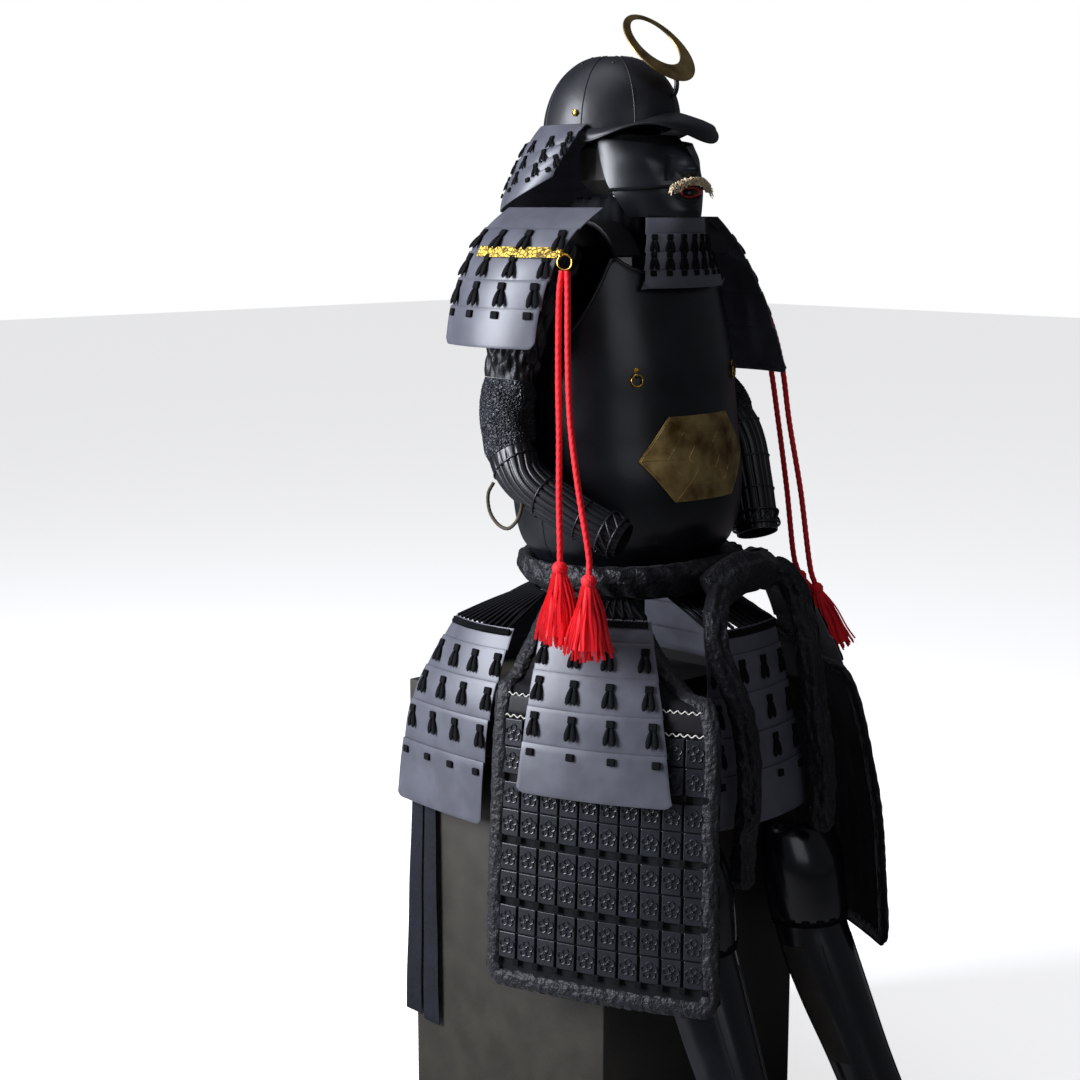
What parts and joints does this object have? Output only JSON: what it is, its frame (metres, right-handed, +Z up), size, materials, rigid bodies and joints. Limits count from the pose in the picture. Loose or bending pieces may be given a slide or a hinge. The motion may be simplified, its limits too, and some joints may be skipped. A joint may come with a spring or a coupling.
{
  "type": "samurai armour on its storage box and wooden stand",
  "caption": "Full laced samurai armour with helmet, half mask, shoulder guards, sleeves, thigh and shin guards, set up on a wooden stand over its lidded storage box.",
  "frame": {"origin": "on the floor under the middle of the body, level with the underside of the storage box", "axes": "+Z up; the armour faces -Y; the wearer's right is -X"},
  "size_m": [0.6919, 0.7763, 1.7089],
  "materials": {
    "box_lacquer": "dark brown-black lacquer, dull",
    "stand_wood": "plain planed wood",
    "black_lacquer": "satin black lacquer",
    "lame_lacquer": "gloss blue-black lacquer",
    "gold": "worn bronze gilding",
    "brass": "polished",
    "brocade": "gold brocade weave",
    "red_silk": "twisted silk cord",
    "black_cloth": "crinkled silk",
    "quilted_cloth": "padded cloth with a velvet border",
    "lace": "flat braided silk",
    "mail": "black mail on cloth",
    "splints": "black lacquered splints on cloth",
    "hair": "cream hair",
    "olive_cord": "thin braided cord"
  },
  "bodies": {
    "armour": {"box_body": "box_lacquer", "box_lid": "box_lacquer", "stand": "stand_wood", "cuirass_front": "black_lacquer", "cuirass_back": "black_lacquer", "shoulder_strap_right": "black_lacquer", "shoulder_strap_left": "black_lacquer", "gold_plate": "gold", "helmet_bowl": "black_lacquer", "helmet_brim": "black_lacquer", "neck_guard": "lame_lacquer", "crest_ring": "gold", "crest_hook": "black_lacquer", "mask": "black_lacquer", "moustache": "hair", "throat_guard": "lame_lacquer", "shoulder_guard_right": "lame_lacquer", "shoulder_guard_left": "lame_lacquer", "brocade_strap_right": "brocade", "brocade_strap_left": "brocade", "guard_ring_right": "brass", "guard_ring_left": "brass", "cord_right_front": "red_silk", "cord_right_back": "red_silk", "cord_left_front": "red_silk", "cord_left_back": "red_silk", "tassel_right_front": "red_silk", "tassel_right_back": "red_silk", "tassel_left_front": "red_silk", "tassel_left_back": "red_silk", "sleeve_upper_right": "black_cloth", "sleeve_elbow_right": "mail", "sleeve_forearm_right": "splints", "sleeve_upper_left": "black_cloth", "sleeve_elbow_left": "mail", "sleeve_forearm_left": "splints", "belt": "black_cloth", "belt_knot": "black_cloth", "belt_tail_right": "black_cloth", "belt_tail_left": "black_cloth", "tasset_front": "lame_lacquer", "tasset_front_right": "lame_lacquer", "tasset_rear_right": "lame_lacquer", "tasset_back": "lame_lacquer", "tasset_front_left": "lame_lacquer", "tasset_rear_left": "lame_lacquer", "laces_front": "lace", "laces_front_right": "lace", "laces_rear_right": "lace", "laces_back": "lace", "laces_front_left": "lace", "laces_rear_left": "lace", "thigh_guard_right": "quilted_cloth", "thigh_guard_left": "quilted_cloth", "leg_guard_right": "black_lacquer", "leg_guard_left": "black_lacquer", "side_ribbon": "black_cloth", "elbow_loop": "olive_cord"},
    "chest_ring_right": {"chest_ring_right": "brass"},
    "chest_ring_left": {"chest_ring_left": "brass"}
  },
  "joints": [
    {"name": "chest_ring_right_hinge", "type": "hinge", "parent": "armour", "child": "chest_ring_right", "pos_m": [-0.10751, -0.11435, 1.188], "axis": [-0.8845, 0.4665, 0], "range_deg": [0, 150]},
    {"name": "chest_ring_left_hinge", "type": "hinge", "parent": "armour", "child": "chest_ring_left", "pos_m": [0.10755, -0.11433, 1.188], "axis": [-0.8804, -0.4743, 0], "range_deg": [0, 150]}
  ]
}
